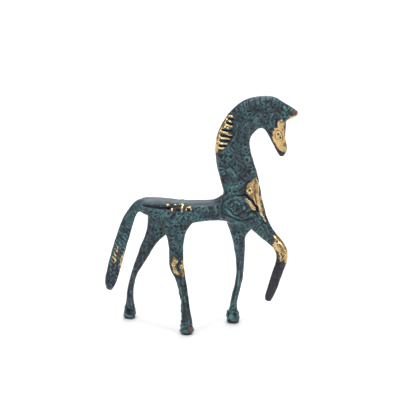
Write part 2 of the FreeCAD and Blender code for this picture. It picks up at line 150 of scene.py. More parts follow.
# Each casting is found by a spot that only it is near.
castings = {
    "barrelCasting": {"node": "barrel", "near": (-5, 0, 70), "finish": "patinated_bronze"},
    "forehandCasting": {"node": "forehand", "near": (20, 0, 100), "finish": "patinated_bronze"},
    "tailCasting": {"node": "tail", "near": (-50, 0, 50), "finish": "patinated_bronze"},
    "leftHindCasting": {"node": "left_hind_leg", "near": (-38, 7, 35), "finish": "patinated_bronze"},
    "rightHindCasting": {"node": "right_hind_leg", "near": (-11, -10, 30), "finish": "patinated_bronze"},
    "leftForeCasting": {"node": "left_foreleg", "near": (22, 3, 30), "finish": "patinated_bronze"},
    "raisedUpperCasting": {"node": "right_foreleg_upper", "near": (46, -6, 50), "finish": "patinated_bronze"},
    "raisedLowerCasting": {"node": "right_foreleg_lower", "near": (43, -8, 26), "finish": "dark_bronze"},
}

surface = {"voxel": 0.57, "around": 72, "along": 180, "smoothing": 4, "filling": 55, "renewEvery": 5,
           "groundReach": 0.3, "levelSteps": 14, "inset": 0.01}


def throughKnots(knots, values, places):
    # natural cubic spline: bends at the knots solve one linear system, spans between are cubics
    gap = np.diff(knots)[:, None]
    count = len(knots)
    system = np.eye(count)
    wanted = np.zeros_like(values)
    slope = np.diff(values, axis=0) / gap
    inner = np.arange(1, count - 1)
    system[inner, inner - 1] = gap[:-1, 0]
    system[inner, inner] = 2 * (gap[:-1, 0] + gap[1:, 0])
    system[inner, inner + 1] = gap[1:, 0]
    wanted[inner] = 6 * (slope[1:] - slope[:-1])
    bend = np.linalg.solve(system, wanted)
    span = np.clip(np.searchsorted(knots, places, side="right") - 1, 0, count - 2)
    width = gap[span]
    before = (places - knots[span])[:, None]
    after = (knots[span + 1] - places)[:, None]
    return ((bend[span] * after ** 3 + bend[span + 1] * before ** 3) / (6 * width)
            + (values[span] / width - bend[span] * width / 6) * after
            + (values[span + 1] / width - bend[span + 1] * width / 6) * before)


def limbSurface(rows, squareness, shrink=1.0):
    # a superellipse section along the limb: middle + half axis * cos^(2/n) + thickness * sin^(2/n)
    rows = np.array(rows, float)
    middles = np.stack([(rows[:, 0] + rows[:, 2]) / 2, (rows[:, 1] + rows[:, 3]) / 2, rows[:, 4]], 1)
    steps = np.sqrt(np.linalg.norm(np.diff(middles, axis=0), axis=1))
    knots = np.concatenate([[0], np.cumsum(steps)])
    stations = throughKnots(knots, rows, np.linspace(0, knots[-1], surface["along"]))
    turn = np.linspace(0, 2 * math.pi, surface["around"], endpoint=False)
    flat = np.sign(np.cos(turn)) * np.abs(np.cos(turn)) ** (2 / squareness) * shrink
    deep = np.sign(np.sin(turn)) * np.abs(np.sin(turn)) ** (2 / squareness) * shrink
    backX, backZ, frontX, frontZ, middleY, half = (stations[:, k:k + 1] for k in range(6))
    return np.stack([(backX + frontX) / 2 + (frontX - backX) / 2 * flat,
                     middleY + half * deep,
                     (backZ + frontZ) / 2 + (frontZ - backZ) / 2 * flat], 2)


def tubeFaces(along, around, first):
    # quads between neighbouring rings, and one flat cap at each end
    i, j = np.meshgrid(np.arange(along - 1), np.arange(around), indexing="ij")
    a = first + i * around + j
    b = first + i * around + (j + 1) % around
    quads = np.stack([a, b, b + around, a + around], 2).reshape(-1, 4).tolist()
    last = first + (along - 1) * around
    return quads + [list(range(first + around - 1, first - 1, -1)), list(range(last, last + around))]


def vertexNormals(points, quads):
    # area-weighted: each quad adds the cross product of its diagonals to its four corners
    across = np.cross(points[quads[:, 2]] - points[quads[:, 0]], points[quads[:, 3]] - points[quads[:, 1]])
    normals = np.empty_like(points)
    corners = quads.ravel()
    for axis in range(3):
        normals[:, axis] = np.bincount(corners, np.repeat(across[:, axis], 4), len(points))
    return normals / np.maximum(np.linalg.norm(normals, axis=1, keepdims=True), 1e-12)


def neighbourMean(values, edges, valence):
    # mean over the edge neighbours of each vertex
    total = np.empty_like(values)
    for axis in range(values.shape[1]):
        total[:, axis] = (np.bincount(edges[:, 0], values[edges[:, 1], axis], len(values))
                          + np.bincount(edges[:, 1], values[edges[:, 0], axis], len(values)))
    return total / valence


def modified(mesh, name, kind, **settings):
    # the mesh after one modifier
    helper = bpy.data.objects.new(name, mesh)
    bpy.context.scene.collection.objects.link(helper)
    modifier = helper.modifiers.new(name, kind)
    for key, value in settings.items():
        setattr(modifier, key, value)
    result = bpy.data.meshes.new_from_object(helper.evaluated_get(bpy.context.evaluated_depsgraph_get()))
    bpy.data.objects.remove(helper)
    bpy.data.meshes.remove(mesh)
    return result


def joinedLimbs():
    # every limb's closed tube in one mesh
    points, faces = [], []
    first = 0
    for limb in horse.values():
        grid = limbSurface(limb["rows"], limb["squareness"], limb.get("shrink", 1.0))
        faces += tubeFaces(grid.shape[0], grid.shape[1], first)
        points.append(grid.reshape(-1, 3))
        first += len(points[-1])
    points = np.concatenate(points)
    mesh = bpy.data.meshes.new("joinedLimbs")
    mesh.from_pydata(points.tolist(), [], faces)
    return points, mesh


def readMesh(mesh):
    # vertex places, edges and quads as plain arrays
    places = np.empty(len(mesh.vertices) * 3)
    mesh.vertices.foreach_get("co", places)
    edges = np.empty(len(mesh.edges) * 2, int)
    mesh.edges.foreach_get("vertices", edges)
    corners = np.empty(len(mesh.loops), int)
    mesh.loops.foreach_get("vertex_index", corners)
    return places.reshape(-1, 3), edges.reshape(-1, 2), corners.reshape(-1, 4)


def fillShare(places):
    # the part of a hollow that one step fills: more under the loin and less under the tail
    x, z = places[:, 0], places[:, 2]
    loin = np.exp(-((x + 4) / 7) ** 2 - ((z - 63) / 7) ** 2)
    tailGap = np.exp(-((x + 33) / 6) ** 2 - ((z - 69) / 6) ** 2)
    return (0.55 + 0.4 * loin - 0.45 * tailGap)[:, None]


def evenOut(places, edges, quads):
    # first every vertex moves half way to its neighbours' mean, then only hollow creases are filled
    valence = np.bincount(edges.ravel(), minlength=len(places))[:, None]
    onGround = places[:, 2] < surface["groundReach"]
    for step in range(surface["smoothing"]):
        places = places + 0.5 * (neighbourMean(places, edges, valence) - places)
        places[onGround, 2] = 0
    share = fillShare(places)
    for step in range(surface["filling"]):
        if step % surface["renewEvery"] == 0:
            normals = vertexNormals(places, quads)
        pull = neighbourMean(places, edges, valence) - places
        outward = np.maximum((pull * normals).sum(1, keepdims=True), 0)
        places = places + share * outward * normals
        places[onGround, 2] = 0
    return places


points, skin = joinedLimbs()
skin = modified(skin, "skin", "REMESH", mode="VOXEL", voxel_size=surface["voxel"])
places, edges, quads = readMesh(skin)
skin.vertices.foreach_set("co", evenOut(places, edges, quads).ravel())
skin = modified(skin, "fineSkin", "SUBSURF", levels=1, render_levels=1)
places, edges, quads = readMesh(skin)
places[:, 2] = np.maximum(places[:, 2], 0)
normals = vertexNormals(places, quads)
valence = np.bincount(edges.ravel(), minlength=len(places))[:, None]
side = np.abs(normals[:, 1])
print("skin made:", len(places), "vertices")


def smoothStep(value, low, high):
    # 0 below low, 1 above high, an even S between them
    t = np.clip((value - low) / (high - low), 0, 1)
    return t * t * (3 - 2 * t)


def waves(size, seed, count=14):
    # soft random relief: a sum of sine waves of about one length in random directions
    dice = np.random.default_rng(seed)
    way = dice.normal(size=(count, 3))
    length = np.linalg.norm(way, axis=1, keepdims=True)
    way *= (2 * math.pi / size * dice.uniform(0.6, 1.5, (count, 1))) / length
    return np.sin(places @ way.T + dice.uniform(0, 2 * math.pi, count)).sum(1) / math.sqrt(count / 2)


def lineDistance(px, pz, line):
    # distance in side view to a chain of straight pieces
    nearest = np.full(len(px), 1e9)
    for (ax, az), (bx, bz) in zip(line, line[1:]):
        alongX, alongZ = bx - ax, bz - az
        share = ((px - ax) * alongX + (pz - az) * alongZ) / max(alongX ** 2 + alongZ ** 2, 1e-9)
        share = np.clip(share, 0, 1)
        nearest = np.minimum(nearest, np.hypot(px - ax - share * alongX, pz - az - share * alongZ))
    return nearest


def insideDistance(px, pz, outline):
    # signed distance in side view to a closed outline, positive inside
    away = lineDistance(px, pz, outline + outline[:1])
    inside = np.zeros(len(px), bool)
    for (ax, az), (bx, bz) in zip(outline, outline[1:] + outline[:1]):
        crosses = (az > pz) != (bz > pz)
        inside ^= crosses & (px < ax + (pz - az) / (bz - az + 1e-12) * (bx - ax))
    return np.where(inside, away, -away)


fineWaves = waves(1.6, 5)
broadWaves = waves(7.0, 9)
handWork = {"size": 6.0, "reach": 0.14}     # the strokes wander a little, as if cut by hand
plainX, plainY, plainZ = places.T
x = plainX + handWork["reach"] * waves(handWork["size"], 21)
z = plainZ + handWork["reach"] * waves(handWork["size"], 22)
height = np.zeros(len(places))     # relief along the normal, mm
fieldNames = ("gold", "hollow", "crest", "rust", "dark", "border", "smooth")
fields = {name: np.zeros(len(places)) for name in fieldNames}


def mark(name, values, chosen=slice(None)):
    # a field keeps the stronger of what it has and the new values
    fields[name][chosen] = np.maximum(fields[name][chosen], values)


def curved(line):
    # the smooth curve through the line's points, eight steps to each span
    knots = np.arange(len(line), dtype=float)
    steps = np.linspace(0, len(line) - 1, 8 * (len(line) - 1) + 1)
    return [tuple(point) for point in throughKnots(knots, np.array(line, float), steps)]


def nearTo(line, reach):
    # vertices within reach of the box round a line, which is all that the mark can touch
    low, high = np.min(line, 0) - reach, np.max(line, 0) + reach
    return np.flatnonzero((x > low[0]) & (x < high[0]) & (z > low[1]) & (z < high[1]) & (side > 0.1))


def groove(line, width, depth, dark=1.0):
    # cut with a bell section and a slight lip on both sides
    chosen = nearTo(line, 4 * width)
    away = lineDistance(x[chosen], z[chosen], line)
    show = smoothStep(side[chosen], 0.15, 0.5)
    cut = np.exp(-(away / width) ** 2)
    lip = np.exp(-((away - 1.9 * width) / (0.8 * width)) ** 2)
    height[chosen] += show * depth * (0.22 * lip - cut)
    mark("hollow", dark * show * cut, chosen)


def ridge(line, width, rise, light=0.7):
    # raised cord with a round section and a faint dark foot
    chosen = nearTo(line, 4 * width)
    away = lineDistance(x[chosen], z[chosen], line)
    show = smoothStep(side[chosen], 0.15, 0.5)
    cord = np.exp(-(away / width) ** 2)
    foot = np.exp(-((away - 1.9 * width) / (0.7 * width)) ** 2)
    height[chosen] += show * rise * (cord - 0.3 * foot)
    mark("crest", light * show * cord, chosen)
    mark("hollow", 0.5 * light * show * foot, chosen)


def ringMark(centreX, centreZ, radius, depth=0.45, light=0.9):
    # punched dot: a pit with a raised ring round it
    chosen = nearTo([(centreX, centreZ)], 3 * radius)
    away = np.hypot(x[chosen] - centreX, z[chosen] - centreZ)
    show = smoothStep(side[chosen], 0.15, 0.5)
    pit = np.exp(-(away / (0.62 * radius)) ** 2)
    rim = np.exp(-((away - 1.25 * radius) / (0.4 * radius)) ** 2)
    height[chosen] += show * depth * (0.45 * rim - pit)
    mark("hollow", show * pit, chosen)
    mark("crest", light * show * rim, chosen)


def patch(field, outline, ragged=0.35, strength=1.0, soft=0.25):
    # area with a worn, uneven edge: gold and dark also go round to the narrow faces
    chosen = np.arange(len(x)) if field in ("gold", "dark") else nearTo(outline, 2.0)
    edge = insideDistance(x[chosen], z[chosen], outline) + ragged * fineWaves[chosen]
    mark(field, strength * smoothStep(edge, -soft, soft), chosen)


def strokes(kind, lines, *settings, smooth=False):
    for line in lines:
        kind(curved(line) if smooth else line, *settings)


def rings(marks, *settings):
    for centreX, centreZ, radius in marks:
        ringMark(centreX, centreZ, radius, *settings)


# Relief, in side view: x and z in mm, the same on both sides of the horse.
mane = {
    "teeth": [((15.3, 129.0), (18.0, 128.9)), ((16.4, 126.3), (17.4, 125.7)), ((14.8, 123.7), (17.6, 123.0)),
        ((15.0, 122.2), (15.8, 121.4)), ((11.3, 119.7), (14.6, 119.3), (17.4, 118.1)), ((11.0, 116.4),
        (16.2, 116.0)), ((10.6, 112.7), (15.0, 112.9)), ((10.2, 110.2), (13.0, 110.4))],
    "slots": [((12.2, 120.9), (17.8, 120.3)), ((11.4, 117.6), (17.6, 116.9)), ((10.8, 114.5), (16.6, 114.2)),
        ((10.6, 111.5), (14.6, 111.4)), ((15.6, 127.6), (18.4, 127.0)), ((15.2, 124.9), (18.0, 124.6))],
    "strip": [(15.4, 129.1), (15.6, 127.6), (15.2, 126.0), (14.6, 124.4), (14.6, 122.7), (13.0, 121.1),
        (11.8, 120.4), (11.0, 118.6), (11.2, 115.2), (10.8, 111.9), (10.8, 109.8), (10.0, 106.9),
        (6.0, 105.9), (5.0, 116.0), (9.0, 126.0), (13.2, 130.5)],
    "curves": [((11.2, 106.2), (13.6, 106.4), (14.6, 105.4)), ((11.4, 102.3), (13.6, 102.3), (14.8, 101.2)),
        ((11.1, 98.8), (13.7, 98.8), (14.7, 97.6)), ((11.5, 96.4), (13.3, 97.1), (15.2, 95.2)), ((12.6, 93.4),
        (15.5, 94.2))],
    "notches": [((24.2, 135.6), (25.2, 132.6)), ((27.4, 137.2), (28.8, 133.6)), ((30.4, 138.6),
        (31.5, 134.4)), ((33.8, 139.9), (34.1, 136.0)), ((37.2, 140.0), (37.4, 135.0)), ((41.4, 138.8),
        (40.4, 135.8)), ((45.0, 136.8), (44.3, 133.6)), ((21.2, 133.4), (22.6, 130.8))],
}
strokes(groove, mane["slots"], 0.62, 0.85)
strokes(ridge, mane["teeth"], 0.5, 0.35, 0.2)
strokes(groove, mane["curves"], 0.42, 0.3, smooth=True)
strokes(groove, mane["notches"], 0.55, 0.34, 0.55)

neck = {
    "rings": [(26.7, 103.4, 1.15), (25.9, 109.4, 0.8), (22.9, 119.7, 0.75), (21.9, 102.6, 0.7),
        (21.6, 113.8, 0.65), (20.5, 111.0, 0.6), (26.2, 124.8, 0.6), (32.7, 129.2, 0.9), (23.1, 89.6, 0.75),
        (30.6, 124.6, 0.6)],
    "cords": [((28.8, 126.4), (25.0, 123.7), (24.3, 120.9), (27.4, 119.3), (28.1, 122.5)), ((18.2, 114.6),
        (20.4, 119.3), (21.2, 121.3)), ((23.6, 108.2), (26.7, 106.6), (28.2, 108.2)), ((21.8, 95.7),
        (24.7, 98.4), (22.5, 101.1)), ((24.0, 94.9), (26.9, 97.6)), ((19.4, 126.0), (21.0, 124.0),
        (20.2, 121.8)), ((17.6, 110.2), (19.6, 107.6), (18.6, 104.8))],
    "cuts": [((21.8, 94.2), (25.9, 90.4)), ((22.6, 85.0), (27.7, 90.4)), ((27.2, 96.0), (28.8, 97.0)),
        ((16.6, 100.4), (18.8, 97.6))],
}
rings(neck["rings"])
strokes(ridge, neck["cords"], 0.42, 0.38, 0.9, smooth=True)
strokes(groove, neck["cuts"], 0.45, 0.42)

head = {
    "face": [(44.3, 126.2), (44.2, 123.0), (43.1, 121.7), (41.9, 120.5), (41.4, 118.6), (41.3, 115.4),
        (42.4, 112.8), (43.6, 110.9), (44.9, 109.2), (46.2, 107.8), (47.7, 107.1), (49.3, 107.4),
        (49.8, 109.2), (49.6, 112.8), (48.9, 115.4), (48.6, 118.8), (48.4, 122.2), (48.3, 124.7),
        (47.3, 126.2), (45.9, 126.8)],
    "ear": [((40.6, 123.6), (40.2, 127.0), (41.6, 130.2), (43.6, 131.0), (45.6, 129.2), (46.4, 126.8))],
    "earSlot": [((43.5, 127.2), (43.7, 123.4))],
    "eyeRings": [(44.5, 118.1, 0.85), (45.9, 116.2, 0.75)],
    "socket": [(42.9, 116.4), (42.7, 118.4), (44.0, 120.3), (46.1, 119.9), (47.4, 117.9), (47.3, 115.7)],
    "lid": [((42.6, 118.6), (43.2, 119.7), (44.6, 120.0), (46.0, 119.0), (46.6, 117.2), (46.3, 115.4)),
        ((43.0, 117.0), (44.0, 115.8), (45.0, 114.9))],
    "tearDot": (44.6, 112.4, 0.4),
}
strokes(ridge, head["ear"], 0.5, 0.4, 0.7, smooth=True)
strokes(groove, head["earSlot"], 0.75, 0.6)
rings(head["eyeRings"], 0.55, 0.0)
strokes(ridge, head["lid"], 0.35, 0.34, 0.0, smooth=True)
groove(curved(head["socket"]), 0.3, 0.3, 0.5)
ringMark(*head["tearDot"], 0.25)

forelock = {
    "edge": [(48.4, 124.6), (48.8, 125.4), (49.8, 126.8), (51.4, 128.1), (53.7, 129.2), (55.0, 128.6),
        (52.0, 126.0), (49.8, 123.8)],
    "tip": [(51.6, 132.8), (54.4, 131.9), (56.5, 130.2), (55.5, 128.6), (52.7, 129.6), (53.0, 131.0)],
    "cuts": [((50.2, 131.2), (51.6, 133.0)), ((51.8, 129.6), (54.0, 132.0)), ((49.6, 129.0), (51.6, 131.0)),
        ((53.6, 129.4), (55.2, 131.0))],
}
strokes(groove, forelock["cuts"], 0.42, 0.4)

chest = {
    "panel": [(32.5, 92.6), (30.4, 91.4), (29.4, 90.2), (27.8, 89.2), (26.7, 86.9), (26.0, 84.7),
        (27.3, 82.8), (29.3, 81.7), (30.5, 79.3), (32.1, 76.7), (32.8, 73.9), (34.0, 72.0), (35.1, 69.7),
        (36.8, 67.6), (37.9, 66.0), (38.3, 67.1), (37.3, 69.9), (36.3, 73.0), (35.8, 76.5), (35.2, 80.4),
        (34.5, 84.3), (33.9, 87.8), (33.2, 90.8)],
    "spine": [(32.5, 90.4), (33.0, 86.9), (33.2, 82.6), (33.6, 78.2), (34.2, 73.9), (35.6, 69.9),
        (37.9, 66.5)],
    "hole": (28.4, 85.0, 1.0),
    "boss": (29.8, 84.6),
    "bar": [(25.3, 80.5), (26.5, 80.8), (29.3, 78.1), (32.3, 74.9), (31.9, 73.3), (30.4, 73.1), (28.9, 75.4),
        (26.9, 78.2)],
    "barSpine": [(25.9, 80.4), (28.4, 77.4), (31.2, 74.2)],
    "spineShadeGrooves": [((31.0, 89.0), (31.5, 85.0), (31.9, 80.6), (32.6, 76.4)), ((34.2, 86.0), (34.5, 81.6),
        (35.0, 77.0), (35.6, 73.0))],
    "barGroove": [(21.4, 82.0), (25.4, 82.6), (27.6, 81.2), (30.2, 78.6), (32.6, 75.4), (33.2, 72.4)],
    "underGroove": [(27.5, 71.8), (30.4, 73.2), (32.6, 71.0), (33.6, 69.0)],
}
groove(chest["barGroove"], 0.5, 0.8)
groove(chest["underGroove"], 0.6, 0.6)
ridge(chest["barSpine"], 0.95, 0.75, 0.0)
groove(chest["barSpine"], 0.28, 0.35, 0.44)
ridge(curved(chest["spine"]), 0.6, 0.8, 1.0)
# shallow grooves beside the chest spine, darkened as painted shade on the ridge's sides
strokes(groove, chest["spineShadeGrooves"], 0.55, 0.3, 0.42, smooth=True)
ringMark(*chest["hole"], 0.6, 0.0)
ridge([chest["boss"], chest["boss"]], 0.6, 0.4, 0.0)

shoulder = {
    "edge": [((13.0, 78.6), (12.6, 76.6), (12.9, 72.0), (15.0, 70.6), (17.6, 69.2), (21.9, 67.3),
        (27.9, 67.7), (31.6, 69.6)), ((13.0, 78.6), (15.6, 80.2), (20.4, 82.4))],
    "key": [((16.0, 74.3), (19.3, 70.8), (21.9, 70.0), (24.5, 72.3), (27.1, 74.3), (25.6, 77.4), (23.4, 75.4),
        (24.5, 73.1)), ((20.4, 73.5), (22.6, 74.3)), ((17.0, 79.0), (19.6, 77.2), (18.2, 75.4))],
    "roll": [((14.5, 74.3), (18.2, 70.6), (21.9, 68.9), (24.0, 68.1), (27.0, 69.0), (30.0, 71.0)),
        ((17.4, 76.6), (20.6, 78.6), (22.6, 77.2))],
}
strokes(groove, shoulder["edge"], 0.6, 0.45, 0.7, smooth=True)
strokes(groove, shoulder["key"], 0.4, 0.38)
strokes(ridge, shoulder["roll"], 0.5, 0.38, 0.9, smooth=True)

flank = {
    "lip": [(-33.0, 76.4), (-29.4, 75.6), (-25.2, 75.1), (-20.4, 75.1), (-15.6, 75.6), (-12.6, 75.9)],
    "crease": [(-13.0, 75.6), (-6.6, 76.0), (2.0, 76.4), (10.6, 77.6), (12.6, 79.0)],
    "holes": [(-18.9, 74.6, 1.0), (-13.0, 73.7, 0.9), (-6.7, 73.4, 1.1)],
    "gilt": [((-19.6, 76.1), (-18.0, 75.8), (-16.6, 74.6), (-17.0, 73.4)), ((-14.9, 76.1), (-9.9, 76.0),
        (-11.0, 74.6), (-10.8, 73.0)), ((-8.6, 73.8), (-7.6, 75.2), (-6.0, 75.2), (-5.3, 74.0))],
    "rings": [(9.5, 75.1, 0.95), (6.9, 70.2, 0.9), (1.3, 74.2, 1.0), (-2.3, 69.6, 0.8), (-4.3, 67.8, 0.7),
        (0.3, 70.6, 0.6)],
    "cords": [((3.4, 75.4), (4.6, 72.6), (2.8, 70.8)), ((-1.4, 73.8), (-3.6, 71.8), (-1.8, 71.2)),
        ((8.6, 73.0), (10.6, 72.2), (11.4, 70.2)), ((3.4, 68.4), (5.0, 67.4), (8.2, 68.0)), ((-7.6, 71.0),
        (-5.4, 69.6), (-6.6, 67.6))],
}
groove(curved(flank["lip"]), 0.85, 1.05)
groove(flank["crease"], 0.6, 0.3, 0.55)
rings(flank["holes"], 0.8, 0.0)
strokes(ridge, flank["gilt"], 0.5, 0.45, 0.0)
rings(flank["rings"])
strokes(ridge, flank["cords"], 0.4, 0.3, 0.6, smooth=True)

haunch = {
    "rings": [(-18.7, 71.5, 1.1), (-12.7, 71.2, 1.1), (-12.0, 57.9, 0.7), (-15.2, 52.7, 0.9)],
    "cords": [((-22.4, 71.0), (-21.4, 67.4), (-18.4, 65.6), (-15.4, 63.0)), ((-21.2, 62.4), (-16.6, 58.6),
        (-13.3, 61.0)), ((-21.4, 66.7), (-17.6, 64.4), (-13.8, 66.7)), ((-19.0, 68.6), (-15.6, 66.6),
        (-11.8, 69.0), (-10.1, 71.0)), ((-17.0, 54.5), (-14.7, 55.3), (-13.0, 52.7), (-13.9, 49.7)),
        ((-12.4, 54.5), (-11.2, 51.5), (-12.4, 47.9)), ((-30.2, 69.5), (-26.4, 66.8), (-22.2, 63.8))],
    "cuts": [((-20.4, 61.2), (-16.6, 57.6), (-13.4, 60.2)), ((-28.8, 67.0), (-24.0, 63.4), (-21.4, 60.0)),
        ((-12.6, 66.4), (-10.6, 64.0)), ((-17.6, 62.4), (-14.8, 64.6))],
}
rings(haunch["rings"], 0.3)
strokes(ridge, haunch["cords"], 0.38, 0.28, 0.5, smooth=True)
strokes(groove, haunch["cuts"], 0.45, 0.32, 0.7)

hock = {
    "left": [(-16.0, 46.8), (-16.3, 44.3), (-16.9, 40.8), (-16.1, 37.4), (-14.4, 35.5), (-12.6, 35.5),
        (-14.2, 38.6), (-15.0, 40.8), (-13.4, 43.1), (-14.5, 44.8)],
    "right": [(-10.9, 43.3), (-11.4, 41.1), (-12.4, 40.3), (-11.7, 37.4), (-12.8, 36.3), (-11.4, 35.1),
        (-10.4, 32.8), (-9.4, 35.1), (-9.2, 38.6), (-10.2, 41.0)],
    "dots": [(-15.5, 41.4, 0.55), (-11.1, 39.7, 0.5)],
    "gap": [((-12.9, 42.8), (-13.6, 40.6), (-12.9, 38.4))],
}
rings(hock["dots"], 0.35, 0.0)
strokes(groove, hock["gap"], 0.6, 0.4)

raisedLeg = {
    "cords": [((31.7, 68.4), (32.7, 65.6), (34.4, 65.3), (33.9, 67.0)), ((33.1, 60.4), (34.4, 63.2),
        (36.1, 62.1), (37.8, 59.0), (38.5, 57.2)), ((39.1, 61.6), (39.5, 58.8), (41.5, 58.4)), ((36.7, 64.9),
        (38.4, 63.5), (39.1, 61.4))],
    "rings": [(40.9, 60.3, 0.9), (39.8, 55.0, 0.85)],
    "knee": [(44.2, 58.9), (46.8, 58.6), (52.0, 53.3), (53.6, 48.4), (52.6, 45.2), (49.7, 40.6), (49.2, 42.0),
        (48.5, 43.8), (47.6, 43.4), (46.6, 42.2), (46.1, 42.7), (46.1, 45.2), (45.2, 48.0), (43.8, 48.7),
        (41.6, 50.0), (41.6, 52.2), (42.6, 54.7), (42.1, 58.2), (43.4, 58.4)],
    "pits": [(44.3, 54.8, 0.7), (44.6, 53.2, 0.55), (43.3, 51.3, 0.45), (48.5, 51.8, 0.45),
        (50.2, 49.2, 0.45)],
    "cracks": [((46.9, 47.4), (47.9, 46.0), (47.3, 43.6)), ((48.9, 46.4), (47.9, 45.3))],
}
strokes(ridge, raisedLeg["cords"], 0.42, 0.3, smooth=True)
rings(raisedLeg["rings"] + raisedLeg["pits"], 0.3)
strokes(groove, raisedLeg["cracks"], 0.3, 0.22)

shanks = {
    "streaks": [((-12.3, 34.3), (-10.9, 28.0), (-10.1, 22.9)), ((-9.4, 31.0), (-8.6, 24.0), (-7.9, 16.0)),
        ((-10.6, 20.0), (-9.9, 13.0), (-9.6, 9.0)), ((-40.9, 33.0), (-42.6, 24.0), (-43.2, 15.0)),
        ((21.6, 33.0), (21.0, 25.0), (19.4, 15.0))],
    # painted highlights: light streaks down the shanks, on low ridges
    "lights": [((-10.4, 33.8), (-9.6, 21.7), (-6.9, 6.7)), ((-41.8, 22.0), (-41.7, 12.0), (-41.6, 7.6)),
        ((23.4, 40.0), (22.8, 28.0), (20.4, 14.0))],
    "rustyHoof": [(-8.0, 2.0), (-7.4, 5.6), (-5.0, 6.6), (-3.4, 4.6), (-4.6, 1.6)],
    "hoofCuts": [((-44.9, 9.4), (-43.6, 5.4)), ((-10.9, 7.6), (-9.4, 7.9)), ((38.2, 23.6), (39.4, 24.2))],
}
strokes(groove, shanks["streaks"], 0.45, 0.2, 0.8)
# painted highlights: the shank streaks are lifted a little and coloured lighter
strokes(ridge, shanks["lights"], 0.4, 0.16, 0.9)
strokes(groove, shanks["hoofCuts"], 0.45, 0.35, 0.9)

tail = {
    "giltBack": [(-48.9, 50.0), (-50.6, 47.1), (-51.7, 43.7), (-51.5, 41.4), (-52.3, 40.3), (-51.2, 39.7),
        (-49.6, 42.6), (-50.1, 45.4), (-48.4, 46.6)],
    "giltFront": [(-43.8, 49.7), (-45.9, 45.4), (-47.5, 41.4), (-48.3, 38.5), (-48.3, 35.1), (-46.0, 39.7),
        (-44.4, 45.4)],
    "hatch": {"pitch": 2.1, "depth": 0.15, "acrossX": 0.77, "acrossZ": 0.64},
}

# Gold where hands and polishing have worn through the patina.
goldPatches = [  # outline, and how ragged its edge is
    (mane["strip"], 0.25), (head["face"], 0.26), (forelock["edge"], 0.15), (chest["panel"], 0.1),
    (chest["bar"], 0.08), (raisedLeg["knee"], 0.2), (hock["left"], 0.3), (hock["right"], 0.3),
    (tail["giltBack"], 0.4), (tail["giltFront"], 0.4)]
for outline, ragged in goldPatches:
    patch("gold", outline, ragged)
for lines, width in ((mane["teeth"], 0.62), (flank["gilt"], 0.56)):
    for line in lines:
        chosen = nearTo(line, 3.0)
        away = lineDistance(x[chosen], z[chosen], line)
        mark("gold", smoothStep(width - away + 0.12 * fineWaves[chosen], -0.15, 0.2), chosen)

# Shallow tooling between the drawn marks: wandering cords, small pits and dents.
tooling = {"cordSize": 2.7, "cordRise": 0.13, "pitDepth": 0.22, "dotSize": 1.9, "dotDepth": 0.22,
           "dents": 0.05}
roughEdge = {"size": 4.0, "rise": 0.22}     # the near hind shank's back edge
hoofLumps = {"size": 3.4, "rise": 0.28}


def toolingShare():
    # full on the neck, flank, haunch and upper legs, faint on the back, the shins and the gold areas
    upper = smoothStep(plainZ, 42, 52)
    onTail = smoothStep(-plainX, 38, 41)
    back = smoothStep(normals[:, 2], 0.3, 0.7) * smoothStep(-plainX, -14, -10) * smoothStep(plainZ, 72, 75)
    farLimb = smoothStep(plainY, 1.0, 3.0) * smoothStep(60 - plainZ, 0, 3)
    share = (0.2 + 0.8 * upper) * (1 - 0.85 * onTail) * (1 - 0.9 * back) * (1 - 0.5 * farLimb)
    return share * (1 - 0.9 * smoothStep(fields["gold"], 0.1, 0.7)) * smoothStep(side, 0.1, 0.7)


def toolSurface():
    clear = 1 - 0.85 * smoothStep(np.abs(height), 0.03, 0.14)      # the drawn marks stay clear
    share = toolingShare() * clear
    wander = waves(tooling["cordSize"], 31, 30)
    cords = np.exp(-(wander / 0.5) ** 2)
    pits = smoothStep(np.abs(wander), 1.1, 1.9)
    dots = np.exp(-((waves(tooling["dotSize"], 33, 30) - 2.3) / 0.45) ** 2)
    raised = tooling["cordRise"] * cords - tooling["pitDepth"] * pits - tooling["dotDepth"] * dots
    height[:] += share * raised
    height[:] += tooling["dents"] * broadWaves
    lumps = smoothStep(-normals[:, 0], 0.2, 0.8) * smoothStep(-plainY, 4, 6) * smoothStep(plainZ, 6, 10)
    lumps *= smoothStep(35 - plainZ, 0, 4) * smoothStep(-plainX, 0, 3)
    height[:] += roughEdge["rise"] * lumps * waves(roughEdge["size"], 71)
    mark("crest", 0.8 * share * cords * smoothStep(waves(5.0, 35), -0.4, 1.0))
    mark("hollow", share * np.maximum(0.85 * pits, dots))
    mark("rust", 0.7 * share * smoothStep(waves(1.7, 37) + 0.8 * waves(9.0, 39), 2.3, 3.3))


def hatchTail():
    # slanting strokes across the tail: a sine across the stroke, broken up by waves
    hatch = tail["hatch"]
    onTail = smoothStep(-plainX, 40.5, 43) * smoothStep(66 - plainZ, 0, 5) * smoothStep(plainZ, 22, 25)
    across = hatch["acrossX"] * plainX + hatch["acrossZ"] * plainZ + 0.16 * waves(3.5, 41)
    stroke = np.sin(2 * math.pi * across / hatch["pitch"]) * smoothStep(waves(2.6, 43), -1.3, 0.2)
    stroke = stroke + 0.2 * waves(1.7, 45)
    share = onTail * smoothStep(side, 0.45, 0.85)
    height[:] += hatch["depth"] * share * stroke
    mark("crest", 0.8 * share * smoothStep(stroke, 0.5, 1.1))
    mark("hollow", 0.75 * share * smoothStep(-stroke, 0.3, 0.9))


def lumpHooves():
    lumps = waves(hoofLumps["size"], 73)
    share = smoothStep(10 - plainZ, 0, 3) * smoothStep(plainZ, 0.4, 1.6)
    height[:] += hoofLumps["rise"] * share * lumps
    mark("crest", 0.7 * share * smoothStep(lumps, 0.2, 1.2))
    mark("hollow", 0.9 * share * smoothStep(-lumps, 0.5, 1.4))


toolSurface()
hatchTail()
lumpHooves()
fields["gold"] *= 1 - smoothStep(fields["hollow"], 0.45, 0.8)
patch("rust", forelock["tip"], 0.3, 1.0, 0.5)
patch("rust", shanks["rustyHoof"], 0.5, 0.6, 0.5)
